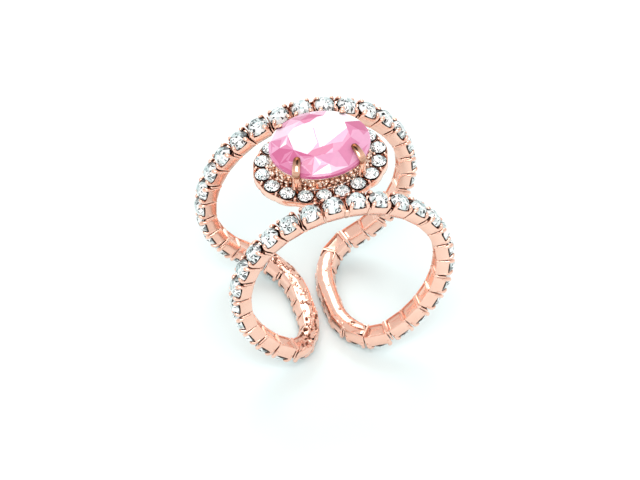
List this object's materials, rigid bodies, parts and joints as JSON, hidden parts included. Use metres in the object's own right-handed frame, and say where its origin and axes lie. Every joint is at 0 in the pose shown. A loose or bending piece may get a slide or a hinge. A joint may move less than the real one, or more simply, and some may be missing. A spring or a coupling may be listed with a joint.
{
  "type": "cocktail ring",
  "caption": "Open-backed cocktail ring: a loop of square crystal cups wraps the finger in two bands and carries an oval pink stone in a crystal halo.",
  "frame": {"origin": "middle of the finger opening, on its axis, midway between the two bands", "axes": "+Y runs along the finger away from the front band, +Z points away from the open back, +X to the right seen from the front; the head stands 6.3 degrees off +Z towards -X"},
  "size_m": [0.022, 0.0152, 0.0244],
  "materials": {
    "rose_gold": "polished rose gold plating",
    "solder": "plated solder, slightly lumpy",
    "clear_crystal": "faceted foil-backed crystal",
    "pink_crystal": "faceted foil-backed pink crystal"
  },
  "bodies": {
    "head": {"front_centre_cups": "rose_gold", "front_centre_crystals": "clear_crystal", "front_centre_joiners": "rose_gold", "rear_centre_cups": "rose_gold", "rear_centre_crystals": "clear_crystal", "rear_centre_joiners": "rose_gold", "centre_stone": "pink_crystal", "stone_seat": "rose_gold", "gallery_wall": "rose_gold", "halo_frame": "rose_gold", "halo_crystals": "clear_crystal", "halo_prongs": "rose_gold", "stone_claw_front_left": "rose_gold", "stone_claw_front_right": "rose_gold", "stone_claw_rear_left": "rose_gold", "stone_claw_rear_right": "rose_gold", "halo_solder_front_left": "solder", "halo_solder_front_right": "solder", "halo_solder_rear_left": "solder", "halo_solder_rear_right": "solder", "right_hinge_pins": "rose_gold", "left_hinge_pins": "rose_gold"},
    "right_shank": {"right_front_cups": "rose_gold", "right_front_crystals": "clear_crystal", "right_front_joiners": "rose_gold", "right_tip_cups": "rose_gold", "right_tip_crystals": "clear_crystal", "right_tip_joiners": "rose_gold", "right_rear_cups": "rose_gold", "right_rear_crystals": "clear_crystal", "right_rear_joiners": "rose_gold", "right_tip_solder": "solder"},
    "left_shank": {"left_front_cups": "rose_gold", "left_front_crystals": "clear_crystal", "left_front_joiners": "rose_gold", "left_tip_cups": "rose_gold", "left_tip_crystals": "clear_crystal", "left_tip_joiners": "rose_gold", "left_rear_cups": "rose_gold", "left_rear_crystals": "clear_crystal", "left_rear_joiners": "rose_gold", "left_tip_solder": "solder"}
  },
  "joints": [
    {"name": "right_shank_flex", "type": "hinge", "parent": "head", "child": "right_shank", "pos_m": [0.00378, -0.00001, 0.00865], "axis": [-0.043, -0.9989, 0.0188], "range_deg": [-1, 8]},
    {"name": "left_shank_flex", "type": "hinge", "parent": "head", "child": "left_shank", "pos_m": [-0.00422, 0.00001, 0.00845], "axis": [0.042, 0.9989, 0.021], "range_deg": [-1, 8]}
  ]
}
